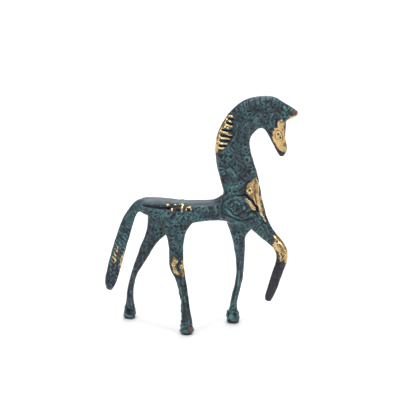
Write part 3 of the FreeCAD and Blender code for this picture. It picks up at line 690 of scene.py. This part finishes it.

# Dark places: jaw, muzzle, knee bend and the raised shin; the hoof bottoms and the rounded borders of the
# limbs, darkened further on, are painted shade.
darkPlaces = {
    "jaw": [(38.0, 121.5), (41.0, 119.2), (42.6, 115.1), (44.8, 110.3), (46.6, 108.9), (48.6, 107.2),
        (50.0, 105.8), (46.0, 102.0), (42.0, 108.0)],
    "shin": [(42.0, 47.6), (45.4, 46.6), (46.4, 42.0), (47.6, 43.2), (48.6, 43.4), (50.4, 40.0), (52.0, 36.0),
        (40.0, 14.0), (34.0, 16.0)],
    "maneEnd": [(17.6, 127.8), (19.8, 127.0), (19.8, 118.0), (17.4, 112.6), (15.4, 109.8), (15.4, 115.0),
        (16.8, 120.0)],
    "panelEdge": [(25.0, 88.6), (28.6, 91.4), (27.8, 88.0), (25.9, 84.6), (27.2, 81.6), (31.0, 77.4),
        (33.2, 72.4), (31.6, 71.2), (29.0, 75.0), (24.6, 80.6), (23.0, 83.6)],
    "lipShade": [(-34.0, 77.0), (-30.0, 76.4), (-20.0, 76.2), (-14.0, 76.6), (-5.0, 76.4), (-4.6, 72.8),
        (-19.4, 73.6), (-30.0, 74.8)],
    "rump": [(-36.0, 78.0), (-26.0, 78.6), (-15.0, 78.0), (-13.0, 76.4), (-20.0, 76.0), (-30.0, 76.4)],
    "panelRim": [(33.0, 94.0), (36.5, 92.0), (38.0, 84.0), (39.5, 76.0), (41.0, 69.0), (38.3, 67.1),
        (36.3, 73.0), (35.8, 76.5), (35.2, 80.4), (34.5, 84.3), (33.9, 87.8), (33.2, 90.8)],
    "throatPit": [(26.5, 96.8), (28.2, 98.0), (29.8, 96.6), (28.0, 95.0)],
    "crestStain": [(31.0, 133.4), (33.6, 131.0), (36.4, 130.4), (40.4, 131.4), (38.4, 134.0)],
    "neckShade": [(17.8, 126.7), (19.5, 115.6), (17.9, 107.0), (20.0, 101.0), (22.1, 93.3), (25.1, 85.5),
        (28.4, 89.8), (30.5, 94.6), (28.8, 100.2), (25.0, 104.5), (24.1, 112.2), (24.0, 120.7), (26.9, 125.0),
        (24.4, 128.3), (20.3, 129.2)],
    "neckStain": [(26.6, 128.4), (30.4, 127.0), (28.6, 125.0), (25.0, 124.6)],
}
darkness = {  # strength and softness of the edge
    "jaw": (1.0, 0.4), "shin": (1.0, 0.5), "maneEnd": (0.8, 0.6), "panelEdge": (0.9, 0.5),
    "lipShade": (1.0, 0.4), "rump": (0.5, 0.8), "throatPit": (1.0, 0.4), "panelRim": (1.0, 0.3),
    "crestStain": (0.7, 0.8), "neckStain": (0.7, 0.8), "neckShade": (0.5, 1.6)}
for name, (strength, soft) in darkness.items():
    patch("dark", darkPlaces[name], 0.3, strength, soft)


def darkenLimbs():
    # cloudy stains everywhere, streaky dark shins, and painted shade at the hoof bottoms
    clouds = smoothStep(waves(13.0, 61) + 0.6 * waves(5.0, 63), 0.1, 1.5)
    shins = smoothStep(46 - plainZ, 0, 10) * smoothStep(plainZ, 8, 13) * (1 - 0.6 * smoothStep(plainX, 5, 8))
    farShin = smoothStep(58 - plainZ, 0, 12) * smoothStep(plainZ, 9, 16) * smoothStep(-plainX, 17, 20)
    farShin = farShin * (plainY > 0)
    streaky = smoothStep(waves(3.0, 65) + 0.8 * np.sin(2.4 * plainX + 0.5 * waves(9.0, 67)), -1.1, 0.7)
    mark("dark", 0.6 * clouds)
    mark("dark", np.maximum(shins, farShin) * streaky)
    fields["dark"] *= 1 - fields["gold"]
    # painted shade: the hoof bottoms just above the floor are darkened
    mark("dark", smoothStep(1.6 - plainZ + 0.3 * fineWaves, 0, 0.8))


darkenLimbs()
# painted shade: faces turned away from the sides, the rounded edges of limbs and body, get a darker border
# tone
fields["border"] = 1 - smoothStep(side + 0.12 * waves(3.0, 51), 0.25, 0.75)     # the limbs' rounded edges
# partly wear, partly painted light: upward faces of the back are marked for a lighter tone
fields["smooth"] = (0.7 - 0.45 * smoothStep(plainX, -8, 6)) * smoothStep(normals[:, 2], 0.45, 0.9)
fields["smooth"] *= smoothStep(plainZ, 72, 75)     # the smooth top of the back: partly wear, partly painted light on the upward faces
fields["smooth"] *= smoothStep(-plainX, -14, -10)
print("relief drawn")

# What stands above the surface round it is a crest. Hollows are darkened this way at the soles only, as
# painted shade where the hooves meet the floor.
places += height[:, None] * normals
level = places.copy()
for step in range(surface["levelSteps"]):
    level = neighbourMean(level, edges, valence)
above = ((places - level) * normals).sum(1)
soleShade = smoothStep(-places[:, 2], -1.2, -0.4)
mark("hollow", 0.85 * smoothStep(-above, 0.03, 0.16) * soleShade)
fields["crest"] *= smoothStep(above, -0.06, 0.02)
mark("crest", 0.5 * smoothStep(above, 0.04, 0.14))

# The skin grows or shrinks by a hair to the frame's own box.
places[:, 2] = np.maximum(places[:, 2], 0)
drawnMiddle = (points.min(0) + points.max(0)) / 2
frameLow, frameHigh = np.array(cadLow) / millimetre, np.array(cadHigh) / millimetre
shift = (frameLow + frameHigh) / 2 - drawnMiddle
low, high = places.min(0), places.max(0)
inset = surface["inset"]
places = frameLow + inset + (places - low) * (frameHigh - frameLow - 2 * inset) / (high - low)
places[:, 2] -= inset
print("relief raised, moved by", shift.round(2))


def seamCut(work, seam):
    # the skin is cut by the seam's plane beside the limb only, and parted along the cut
    (backX, backZ), (frontX, frontZ) = seam["edge"]
    length = math.hypot(frontX - backX, frontZ - backZ)
    runX, runZ = (frontX - backX) / length, (frontZ - backZ) / length
    centre = np.array([(backX + frontX) / 2, seam["y"], (backZ + frontZ) / 2]) + shift
    work.faces.ensure_lookup_table()
    middles = np.array([face.calc_center_bounds() for face in work.faces]) / millimetre - centre
    near = ((np.abs(middles[:, 0] * runZ - middles[:, 2] * runX) < 1.0)
            & (np.abs(middles[:, 0] * runX + middles[:, 2] * runZ) < length / 2 + seam["reach"][0])
            & (np.abs(middles[:, 1]) < seam["half"] + seam["reach"][1]))
    beside = [work.faces[k] for k in np.flatnonzero(near)]
    parts = set(beside)
    for face in beside:
        parts.update(face.edges)
        parts.update(face.verts)
    cut = bmesh.ops.bisect_plane(work, geom=list(parts), plane_co=Vector(centre * millimetre),
                                 plane_no=Vector((runZ, 0, -runX)), dist=1e-7)
    lines = [part for part in cut["geom_cut"] if isinstance(part, bmesh.types.BMEdge)]
    bmesh.ops.split_edges(work, edges=lines)


def partNumbers(work):
    # every vertex takes the lowest number that its connected part holds
    edges = np.array([(edge.verts[0].index, edge.verts[1].index) for edge in work.edges])
    number = np.arange(len(work.verts))
    while True:
        lowest = np.minimum(number[edges[:, 0]], number[edges[:, 1]])
        following = number.copy()
        np.minimum.at(following, edges[:, 0], lowest)
        np.minimum.at(following, edges[:, 1], lowest)
        following = following[following]
        if np.array_equal(following, number):
            return number
        number = following


skin.vertices.foreach_set("co", (places * millimetre).ravel())
for name, values in fields.items():
    layer = skin.attributes.new(name, "FLOAT", "POINT")
    layer.data.foreach_set("value", np.clip(values, 0, 1))
work = bmesh.new()
work.from_mesh(skin)
for seam in seams.values():
    seamCut(work, seam)
work.verts.index_update()
number = partNumbers(work)
spots = np.array([vert.co for vert in work.verts]) / millimetre
pieces = {}
for name, casting in castings.items():
    nearest = np.argmin(np.linalg.norm(spots - (np.array(casting["near"], float) + shift), axis=1))
    away = number != number[nearest]
    piece = work.copy()
    piece.verts.ensure_lookup_table()
    bmesh.ops.delete(piece, geom=[piece.verts[k] for k in np.flatnonzero(away)], context="VERTS")
    rims = [edge for edge in piece.edges if edge.is_boundary]
    for edge in rims:
        edge.smooth = False
    caps = bmesh.ops.holes_fill(piece, edges=rims, sides=0)["faces"]
    for face in piece.faces:
        face.smooth = True
    for face in caps:
        face.smooth = False
    bmesh.ops.triangulate(piece, faces=caps)
    bmesh.ops.recalc_face_normals(piece, faces=piece.faces)
    mesh = bpy.data.meshes.new(name)
    piece.to_mesh(mesh)
    piece.free()
    pieces[name] = bpy.data.objects.new(name, mesh)
    bpy.context.scene.collection.objects.link(pieces[name])
    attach(pieces[name], "root")
    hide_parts(casting["node"])
    print(name, "triangles", sum(len(face.vertices) - 2 for face in mesh.polygons), "caps", len(caps),
          "low", (spots[~away].min(0)).round(1), "high", (spots[~away].max(0)).round(1))
work.free()
bpy.data.meshes.remove(skin)


def newGroup(name, inputs, outputs):
    # an empty shader group with its sockets, and its two end nodes
    group = bpy.data.node_groups.new(name, "ShaderNodeTree")
    for label, kind, value in inputs:
        socket = group.interface.new_socket(name=label, in_out="INPUT", socket_type=kind)
        socket.default_value = value
    for label, kind in outputs:
        group.interface.new_socket(name=label, in_out="OUTPUT", socket_type=kind)
    return group, group.nodes.new("NodeGroupInput"), group.nodes.new("NodeGroupOutput")


def addNode(tree, kind, settings=(), inputs=(), links=()):
    # one node with its settings, plain input values and incoming links
    node = tree.nodes.new(kind)
    for key, value in dict(settings).items():
        setattr(node, key, value)
    for key, value in dict(inputs).items():
        node.inputs[key].default_value = value
    for key, socket in dict(links).items():
        tree.links.new(socket, node.inputs[key])
    return node


def feed(tree, socket, value):
    # a socket takes another node's output or a plain value
    if isinstance(value, bpy.types.NodeSocket):
        tree.links.new(value, socket)
    else:
        socket.default_value = value


def mixColor(tree, share, first, second):
    node = addNode(tree, "ShaderNodeMix", {"data_type": "RGBA"})
    for index, value in ((0, share), (6, first), (7, second)):
        feed(tree, node.inputs[index], value)
    return node.outputs[2]


def mathNode(tree, operation, first, second=0.0, third=0.0):
    node = addNode(tree, "ShaderNodeMath", {"operation": operation})
    for socket, value in zip(node.inputs, (first, second, third)):
        feed(tree, socket, value)
    return node.outputs[0]


def fieldValue(tree, name):
    settings = {"attribute_type": "GEOMETRY", "attribute_name": name}
    return addNode(tree, "ShaderNodeAttribute", settings).outputs["Fac"]


def objectNoise(tree, scale, detail, rough=0.55, distortion=0.0):
    place = addNode(tree, "ShaderNodeTexCoord").outputs["Object"]
    inputs = {"Scale": scale, "Detail": detail, "Roughness": rough, "Distortion": distortion}
    return addNode(tree, "ShaderNodeTexNoise", (), inputs, {"Vector": place}).outputs["Fac"]


def ramp(tree, value, low, high):
    # 0 below low and 1 above high, with a soft S between
    node = addNode(tree, "ShaderNodeMapRange", {"interpolation_type": "SMOOTHSTEP", "clamp": True},
                   {"From Min": low, "From Max": high}, {"Value": value})
    return node.outputs["Result"]


def color(red, green, blue):
    # screen colour 0-255 to the linear colour that a shader takes
    parts = [c / 255 for c in (red, green, blue)]
    return tuple(c / 12.92 if c <= 0.04045 else ((c + 0.055) / 1.055) ** 2.4 for c in parts) + (1.0,)


def makePatinaGroup():
    # verdigris over brown bronze: broad cloudy shifts, then fine dark and light speckle
    colours = [("Light", color(120, 155, 152)), ("Middle", color(72, 104, 104)), ("Deep", color(44, 50, 58)),
               ("Border", color(70, 72, 78))]
    sockets = [(name, "NodeSocketColor", value) for name, value in colours]
    sockets += [(name, "NodeSocketFloat", 0.0) for name in ("Hollow", "Crest", "EdgeShade", "Dark")]
    group, start, end = newGroup("patinaMottle", sockets, [("Color", "NodeSocketColor")])
    given = start.outputs
    cloud = ramp(group, objectNoise(group, 190, 4), 0.36, 0.64)
    speckle = ramp(group, objectNoise(group, 1100, 5, 0.7), 0.47, 0.64)
    shade = ramp(group, objectNoise(group, 420, 5, 0.65, 0.6), 0.42, 0.62)
    base = mixColor(group, mathNode(group, "MULTIPLY", shade, 0.8), given["Middle"], given["Deep"])
    lightShare = mathNode(group, "MULTIPLY", mathNode(group, "MULTIPLY", cloud, speckle), 0.7)
    base = mixColor(group, lightShare, base, given["Light"])
    # painted shade on the rounded edges: mixed toward the Border tone
    edge = mathNode(group, "MULTIPLY", given["EdgeShade"], mathNode(group, "MULTIPLY_ADD", shade, 0.5, 0.45))
    base = mixColor(group, edge, base, given["Border"])
    # raised relief is mixed toward the light tone; on the shanks this carries painted highlight streaks
    crest = mathNode(group, "MULTIPLY", given["Crest"], mathNode(group, "MULTIPLY_ADD", cloud, 0.5, 0.4))
    base = mixColor(group, crest, base, given["Light"])
    dark = mathNode(group, "MULTIPLY", given["Dark"], 0.9)
    base = mixColor(group, dark, base, given["Border"])
    low = mathNode(group, "MAXIMUM", given["Hollow"], mathNode(group, "MULTIPLY", dark, shade))
    group.links.new(mixColor(group, low, base, given["Deep"]), end.inputs["Color"])
    return group


def makeGrainGroup():
    # cast skin: fine grain with scattered pin holes, as a height from 0 to 1
    sockets = [("Fine", "NodeSocketFloat", 1400.0), ("Pits", "NodeSocketFloat", 700.0)]
    group, start, end = newGroup("castGrain", sockets, [("Height", "NodeSocketFloat")])
    place = addNode(group, "ShaderNodeTexCoord").outputs["Object"]
    grain = addNode(group, "ShaderNodeTexNoise", (), {"Detail": 4.0, "Roughness": 0.6},
                    {"Vector": place, "Scale": start.outputs["Fine"]}).outputs["Fac"]
    cells = addNode(group, "ShaderNodeTexVoronoi", {"feature": "F1"}, (),
                    {"Vector": place, "Scale": start.outputs["Pits"]})
    pits = mathNode(group, "MULTIPLY", ramp(group, cells.outputs["Distance"], 0.05, 0.3), 0.35)
    group.links.new(mathNode(group, "MULTIPLY_ADD", grain, 0.65, pits), end.inputs["Height"])
    return group


def makeRubGroup():
    # worn edge: the gold field broken up by fine noise into a ragged border
    sockets = [("Field", "NodeSocketFloat", 0.0), ("Breakup", "NodeSocketFloat", 0.5)]
    group, start, end = newGroup("rubbedMask", sockets, [("Mask", "NodeSocketFloat")])
    rough = mathNode(group, "SUBTRACT", objectNoise(group, 1100, 4, 0.6), 0.5)
    broken = mathNode(group, "MULTIPLY", rough, start.outputs["Breakup"])
    moved = mathNode(group, "ADD", start.outputs["Field"], broken)
    group.links.new(ramp(group, moved, 0.42, 0.58), end.inputs["Mask"])
    return group


patinaGroup, grainGroup, rubGroup = makePatinaGroup(), makeGrainGroup(), makeRubGroup()
bumpDistance = 0.0002


def useGroup(tree, group, inputs=(), links=()):
    return addNode(tree, "ShaderNodeGroup", {"node_tree": group}, inputs, links)


def newMaterial(name):
    material = bpy.data.materials.new(name)
    material.use_nodes = True
    return material, material.node_tree, material.node_tree.nodes["Principled BSDF"]


def addBump(tree, shader, grain, strength):
    inputs = {"Strength": strength, "Distance": bumpDistance}
    bump = addNode(tree, "ShaderNodeBump", (), inputs, {"Height": grain})
    tree.links.new(bump.outputs["Normal"], shader.inputs["Normal"])


patina = {"light": color(106, 150, 152), "middle": color(48, 80, 86), "deep": color(14, 12, 22),
          # the border tone on the next line is the painted shade on rounded edges, and also the tone of the
          # dark places
          # the last tone on the next line lightens the top of the back: partly wear, partly painted light
          "border": color(52, 48, 62), "rust": color(124, 78, 54), "wearAndTopLight": color(62, 88, 92),
          "roughness": 0.4, "metal": 0.15, "specular": 0.35, "bump": 0.6, "gold": color(206, 174, 122),
          # goldShade on the next line is the dark gold of the painted reflections
          # the last gold tone on the next line is the pale gold of the painted highlight on raised gold
          # ridges
          "goldShade": color(134, 104, 62), "tarnish": color(84, 58, 34), "goldHighlight": color(240, 218, 174),
          "goldRoughness": 0.25}


def patinatedBronze():
    material, tree, shader = newMaterial("patinatedBronze")
    field = {name: fieldValue(tree, name) for name in fieldNames}
    tones = {"Light": patina["light"], "Middle": patina["middle"], "Deep": patina["deep"],
             "Border": patina["border"]}
    marks = {"Hollow": field["hollow"], "Crest": field["crest"], "EdgeShade": field["border"],
             "Dark": field["dark"]}
    mottle = useGroup(tree, patinaGroup, tones, marks)
    rustSpots = ramp(tree, objectNoise(tree, 700, 4), 0.4, 0.6)
    rust = mathNode(tree, "MULTIPLY", ramp(tree, field["rust"], 0.2, 0.7), rustSpots)
    skinColor = mixColor(tree, rust, mottle.outputs["Color"], patina["rust"])
    rubbed = useGroup(tree, rubGroup, {"Breakup": 0.7}, {"Field": field["gold"]}).outputs["Mask"]
    # partly wear, partly painted light: the top of the back is mixed toward a lighter tone
    backWearAndTopLight = mathNode(tree, "MULTIPLY", field["smooth"], ramp(tree, objectNoise(tree, 260, 4), 0.3, 0.65))
    skinColor = mixColor(tree, backWearAndTopLight, skinColor, patina["wearAndTopLight"])
    # painted reflection: random clouds darken the polished gold, standing in for darker reflections
    goldReflectionClouds = ramp(tree, objectNoise(tree, 330, 4, 0.6), 0.46, 0.74)
    goldTone = mixColor(tree, goldReflectionClouds, patina["gold"], patina["goldShade"])
    goldRim = mathNode(tree, "SUBTRACT", 1.0, ramp(tree, field["gold"], 0.75, 1.0))
    tarnish = mathNode(tree, "MAXIMUM", goldRim, field["hollow"])
    goldTone = mixColor(tree, tarnish, goldTone, patina["tarnish"])
    # painted highlight: raised gold ridges, the chest spine most, are mixed toward a pale gold
    goldTone = mixColor(tree, mathNode(tree, "MULTIPLY", field["crest"], 0.8), goldTone, patina["goldHighlight"])
    tree.links.new(mixColor(tree, rubbed, skinColor, goldTone), shader.inputs["Base Color"])
    metal = mathNode(tree, "MULTIPLY_ADD", rubbed, 1 - patina["metal"], patina["metal"])
    tree.links.new(metal, shader.inputs["Metallic"])
    polish = patina["goldRoughness"] - patina["roughness"]
    rough = mathNode(tree, "MULTIPLY_ADD", rubbed, polish, patina["roughness"])
    tree.links.new(rough, shader.inputs["Roughness"])
    shader.inputs["Specular IOR Level"].default_value = patina["specular"]
    keep = mathNode(tree, "MULTIPLY_ADD", rubbed, -0.75, 1.0)     # the rubbed gold is smoother
    grain = mathNode(tree, "MULTIPLY", useGroup(tree, grainGroup).outputs["Height"], keep)
    addBump(tree, shader, grain, patina["bump"])
    return material


charcoal = {"Light": color(62, 66, 74), "Middle": color(42, 42, 48), "Deep": color(20, 20, 26)}
pinColors = {"Light": color(110, 140, 136), "Middle": color(60, 84, 84), "Deep": color(40, 42, 48)}


def darkBronze():
    material, tree, shader = newMaterial("darkBronze")
    marks = {"Hollow": fieldValue(tree, "hollow"), "Crest": fieldValue(tree, "crest")}
    mottle = useGroup(tree, patinaGroup, charcoal, marks)
    tree.links.new(mottle.outputs["Color"], shader.inputs["Base Color"])
    shader.inputs["Metallic"].default_value = 0.15
    tree.links.new(ramp(tree, objectNoise(tree, 300, 3), -0.8, 1.4), shader.inputs["Roughness"])
    addBump(tree, shader, useGroup(tree, grainGroup, {"Fine": 900.0}).outputs["Height"], 0.3)
    return material


def pinBronze():
    material, tree, shader = newMaterial("pinBronze")
    tree.links.new(useGroup(tree, patinaGroup, pinColors).outputs["Color"], shader.inputs["Base Color"])
    shader.inputs["Metallic"].default_value = 0.3
    shader.inputs["Roughness"].default_value = 0.45
    addBump(tree, shader, useGroup(tree, grainGroup).outputs["Height"], 0.5)
    return material


finishes = {"patinated_bronze": patinatedBronze(), "dark_bronze": darkBronze()}
for name, casting in castings.items():
    pieces[name].data.materials.append(finishes[casting["finish"]])
pinFinish = pinBronze()
for name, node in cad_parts.items():
    if name.endswith("_pin") or "_pin_" in name:
        node.data.materials.clear()
        node.data.materials.append(finishes["dark_bronze"] if name == "knee_pin" else pinFinish)
print("finishes made")

studio = {"floorSize": 12.0, "floorShade": 0.94, "world": 0.3, "aimHeight": 0.07,
          "lamps": [  # name, place, size, power
              ("overhead", (0.0, 0.1, 1.5), 1.6, 26.0), ("frontLeft", (-1.1, -1.2, 0.9), 0.4, 6.0),
              ("frontRight", (1.2, -0.9, 0.7), 0.4, 4.0), ("behind", (0.2, 1.6, 1.1), 1.0, 8.0)]}


def makeStudio():
    floorMesh = bpy.data.meshes.new("floor")
    reach = studio["floorSize"] / 2
    corners = [(-reach, -reach, 0), (reach, -reach, 0), (reach, reach, 0), (-reach, reach, 0)]
    floorMesh.from_pydata(corners, [], [(0, 1, 2, 3)])
    floor = bpy.data.objects.new("floor", floorMesh)
    bpy.context.scene.collection.objects.link(floor)
    material, tree, shader = newMaterial("floorPaper")
    shader.inputs["Base Color"].default_value = (*[studio["floorShade"]] * 3, 1)
    shader.inputs["Roughness"].default_value = 0.9
    floorMesh.materials.append(material)
    world = bpy.data.worlds.new("studioAir")
    world.use_nodes = True
    sky = world.node_tree.nodes["Background"].inputs
    sky["Color"].default_value = (1, 1, 1, 1)
    sky["Strength"].default_value = studio["world"]
    bpy.context.scene.world = world
    for name, place, size, power in studio["lamps"]:
        lamp = bpy.data.lights.new(name, "AREA")
        lamp.size = size
        lamp.energy = power
        holder = bpy.data.objects.new(name, lamp)
        holder.location = place
        sight = Vector((0, 0, studio["aimHeight"])) - Vector(place)
        holder.rotation_euler = sight.to_track_quat("-Z", "Y").to_euler()
        bpy.context.scene.collection.objects.link(holder)


makeStudio()
bpy.context.scene.view_settings.view_transform = "Standard"

tailLow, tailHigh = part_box("tail")
view = {"elevation": 16.0, "distance": 0.9787, "lens": 150.0, "sensor": 36.0,
        "aim": (0.0, (tailLow[1] + tailHigh[1]) / 2, 0.0776)}


def makeCamera():
    lens = bpy.data.cameras.new("view")
    lens.lens = view["lens"]
    lens.sensor_width = view["sensor"]
    camera = bpy.data.objects.new("view", lens)
    lift = math.radians(view["elevation"])
    camera.location = Vector(view["aim"]) + view["distance"] * Vector((0, -math.cos(lift), math.sin(lift)))
    camera.rotation_euler = (math.radians(90 - view["elevation"]), 0, 0)
    bpy.context.scene.collection.objects.link(camera)
    bpy.context.scene.camera = camera


makeCamera()
